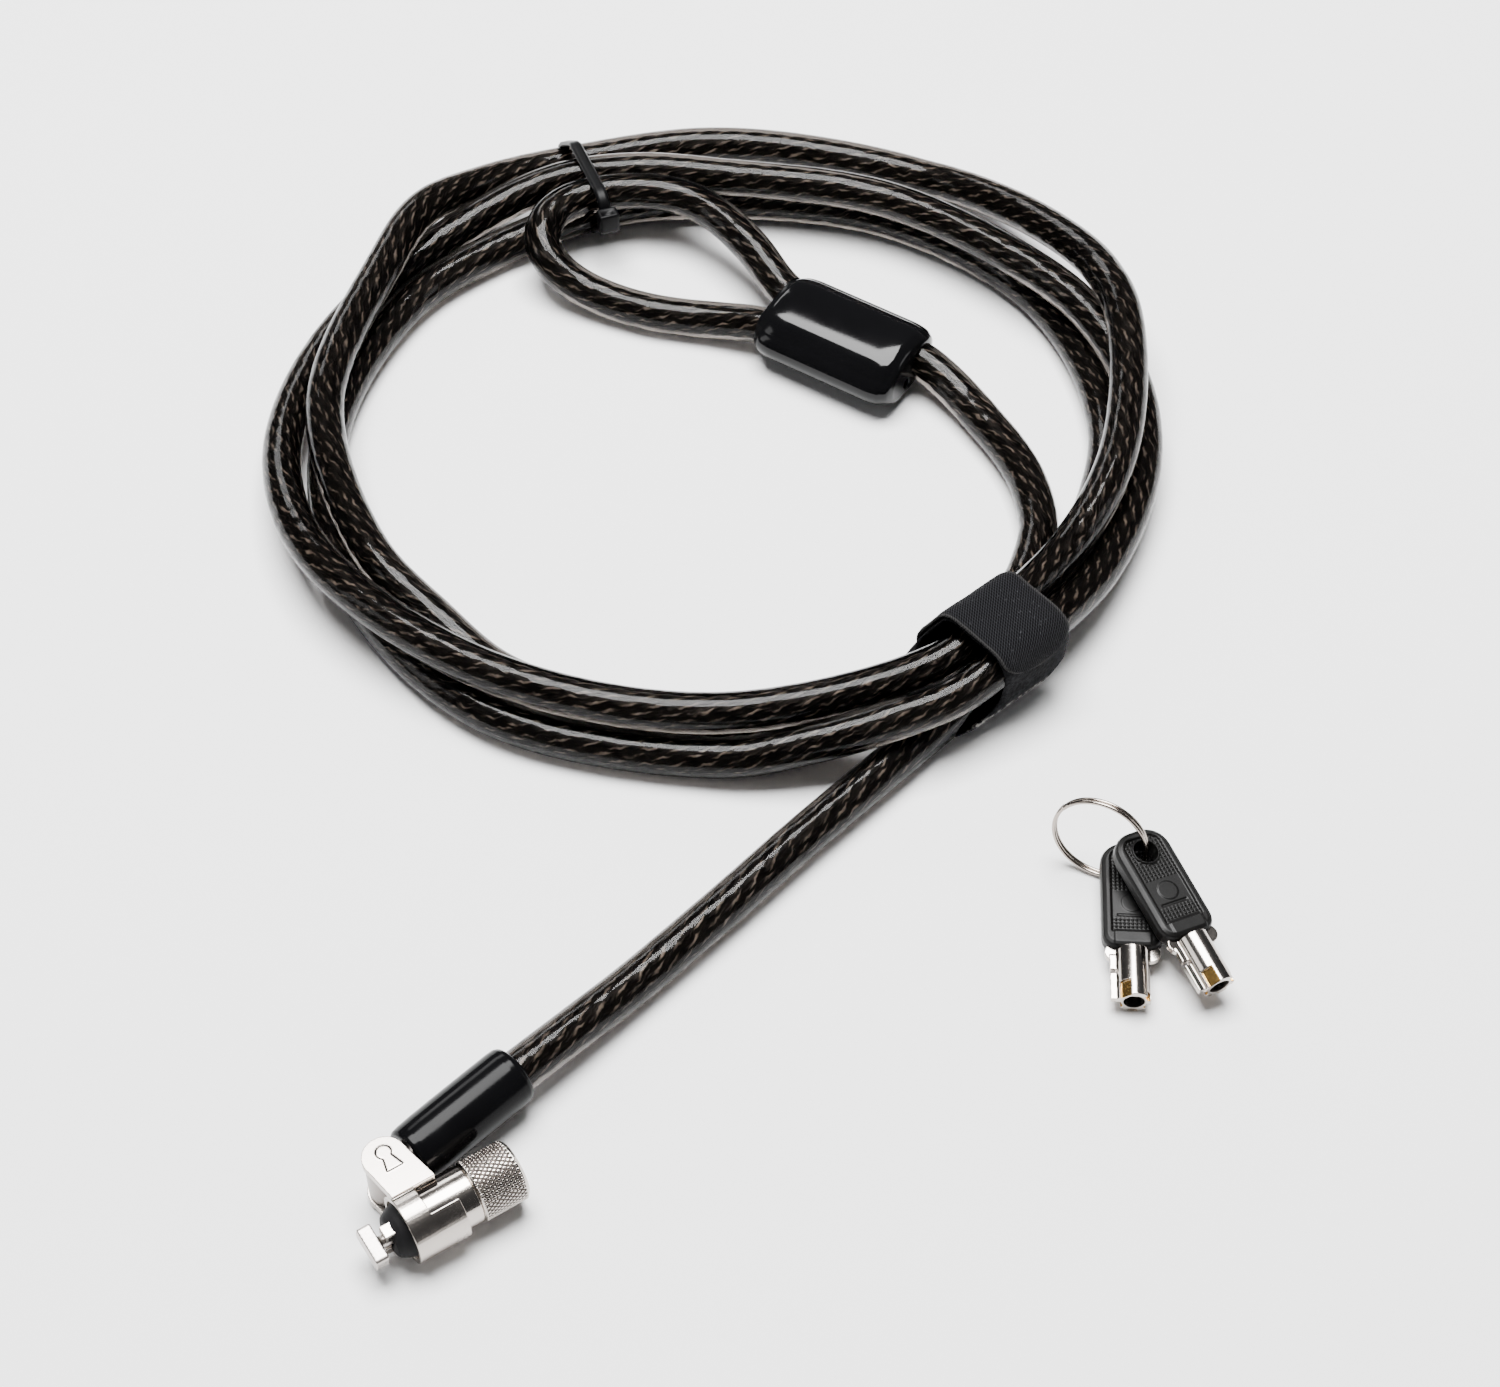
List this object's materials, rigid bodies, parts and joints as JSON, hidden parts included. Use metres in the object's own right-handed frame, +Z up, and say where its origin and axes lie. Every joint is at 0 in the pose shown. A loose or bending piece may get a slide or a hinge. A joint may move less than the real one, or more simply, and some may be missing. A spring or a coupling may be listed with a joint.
{
  "type": "laptop cable lock",
  "caption": "A T-bar lock head on a pivoting yoke, on a coiled plastic-covered steel cable with an end loop, a strap, a cable tie and tubular keys on a split ring",
  "frame": {"origin": "On the surface that everything lies on, under the middle of the box round the lock head and the keys", "axes": "+Z up, +X to the right from the lock head towards the keys, +Y away from the lock head towards the coil"},
  "size_m": [0.168, 0.2567, 0.0175],
  "materials": {
    "cable_coil": "steel rope under a clear smoked plastic sheath",
    "cable_lock_tail": "steel rope under a clear smoked plastic sheath",
    "cable_ferrule_tail": "steel rope under a clear smoked plastic sheath",
    "cable_loop": "steel rope under a clear smoked plastic sheath",
    "ferrule_cover": "polished black moulding",
    "crimp_sleeve": "pressed",
    "strap": "fine ribbed hook-and-loop webbing",
    "cable_tie": "nylon",
    "boot": "polished black moulding",
    "cable_lug": "satin",
    "rope_end": "stranded wire",
    "yoke": "satin nickel",
    "pivot_pin": "satin",
    "lock_sleeve": "polished nickel",
    "snap_ring": "spring steel",
    "nose_cone": "matt",
    "guide_pins": "nickel",
    "knurled_grip": "diamond knurl, nickel",
    "pin_housing": "turned",
    "driver_pins": "plain",
    "pin_springs": "spring wire",
    "spindle": "bead-blasted nickel head",
    "lock_plug": "turned",
    "key_pins": "plain",
    "centre_post": "nickel",
    "key_ring": "bright wire",
    "key_1_head": "satin black moulding",
    "key_2_head": "satin black moulding",
    "key_1_tube": "nickel over brass",
    "key_2_tube": "nickel over brass"
  },
  "bodies": {
    "cable": {"cable_coil": "cable_coil", "cable_lock_tail": "cable_lock_tail", "cable_ferrule_tail": "cable_ferrule_tail", "cable_loop": "cable_loop", "ferrule_cover": "ferrule_cover", "crimp_sleeve": "crimp_sleeve", "strap": "strap", "cable_tie": "cable_tie", "boot": "boot", "cable_lug": "cable_lug", "rope_end": "rope_end"},
    "yoke": {"yoke": "yoke", "pivot_pin": "pivot_pin"},
    "barrel": {"lock_sleeve": "lock_sleeve", "snap_ring": "snap_ring", "nose_cone": "nose_cone", "guide_pins": "guide_pins", "knurled_grip": "knurled_grip", "pin_housing": "pin_housing", "pin_springs": "pin_springs"},
    "driver_pins": {"driver_pins": "driver_pins"},
    "plug": {"spindle": "spindle", "lock_plug": "lock_plug", "key_pins": "key_pins", "centre_post": "centre_post"},
    "key_ring": {"key_ring": "key_ring"},
    "key_1": {"key_1_head": "key_1_head", "key_1_tube": "key_1_tube"},
    "key_2": {"key_2_head": "key_2_head", "key_2_tube": "key_2_tube"}
  },
  "joints": [
    {"name": "cable_pivot", "type": "hinge", "parent": "cable", "child": "yoke", "pos_m": [-0.06248, -0.02444, 0.0055], "axis": [0, 0, 1], "range_deg": [-150, 2]},
    {"name": "yoke_swivel", "type": "hinge", "parent": "yoke", "child": "barrel", "pos_m": [-0.05793, -0.03259, 0.0055], "axis": [0.8339, 0.5519, 0], "continuous": true},
    {"name": "t_bar_turn", "type": "hinge", "parent": "barrel", "child": "plug", "pos_m": [-0.05409, -0.03005, 0.0055], "axis": [0.8339, 0.5519, 0], "range_deg": [0, 90]},
    {"name": "driver_pin_travel", "type": "slide", "parent": "barrel", "child": "driver_pins", "axis": [-0.8339, -0.5519, 0], "range_m": [0, 0.001], "stiffness_N_per_m": 400, "deforming": ["pin_springs"]},
    {"name": "keys_lift", "type": "slide", "parent": "cable", "child": "key_ring", "axis": [0, 0, 1], "range_m": [0, 0.08]},
    {"name": "key_1_swing", "type": "hinge", "parent": "key_ring", "child": "key_1", "pos_m": [0.0519, 0.033, 0.0039], "axis": [-0.0022, -0.0453, 0.999], "range_deg": [-50, 0]},
    {"name": "key_2_swing", "type": "hinge", "parent": "key_ring", "child": "key_2", "pos_m": [0.0536, 0.0321, 0.0084], "axis": [0.1561, -0.0904, 0.9836], "range_deg": [0, 50]}
  ]
}
